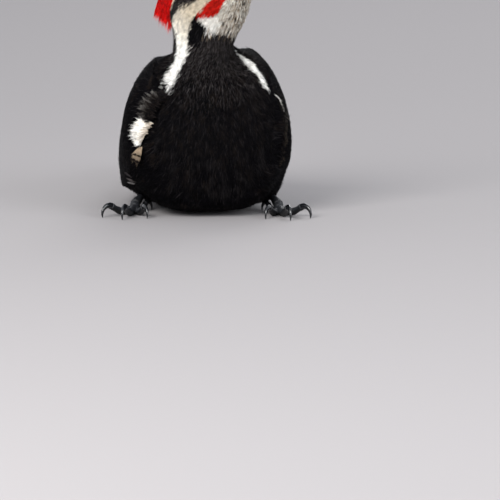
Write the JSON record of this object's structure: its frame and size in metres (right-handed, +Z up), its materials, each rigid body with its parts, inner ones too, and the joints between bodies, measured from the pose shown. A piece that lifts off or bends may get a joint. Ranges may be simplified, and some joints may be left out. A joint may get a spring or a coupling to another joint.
{
  "type": "pileated woodpecker",
  "caption": "Life-size still model of a male pileated woodpecker, crouched on the ground with its head turned and raised and its stiff tail laid flat.",
  "frame": {"origin": "under the middle of the bounding box, on the floor that the feet and the tail stand on", "axes": "+Z up; the bird faces -Y, turned slightly to its left, which is +X; the tail runs to +Y"},
  "size_m": [0.126, 0.3206, 0.167],
  "materials": {
    "plumage_black": "soft black body feathers with a faint brown cast",
    "plumage_head": "short feathers: cream cheek and throat, black mask, red malar stripe",
    "plumage_red": "long silky scarlet crest feathers",
    "flight_feathers": "stiff black vanes with a slight gloss and dark shafts",
    "bill_horn": "slate-grey horn, paler along the cutting edge",
    "claw_horn": "dark smooth horn",
    "foot_skin": "blue-grey scaled skin",
    "eye": "wet eye with a yellow iris and a black pupil"
  },
  "bodies": {
    "root": {"bill_lower": "bill_horn", "bill_upper": "bill_horn", "claw_left_1": "claw_horn", "claw_left_2": "claw_horn", "claw_left_3": "claw_horn", "claw_left_4": "claw_horn", "claw_right_1": "claw_horn", "claw_right_2": "claw_horn", "claw_right_3": "claw_horn", "claw_right_4": "claw_horn", "crest": "plumage_red", "eye_left": "eye", "eye_right": "eye", "foot_left": "foot_skin", "foot_right": "foot_skin", "head": "plumage_head", "neck": "plumage_black", "shank_left": "foot_skin", "shank_right": "foot_skin", "tail": "flight_feathers", "thigh_left": "plumage_black", "thigh_right": "plumage_black", "trunk": "plumage_black", "wing_left": "flight_feathers", "wing_right": "flight_feathers"}
  },
  "joints": []
}
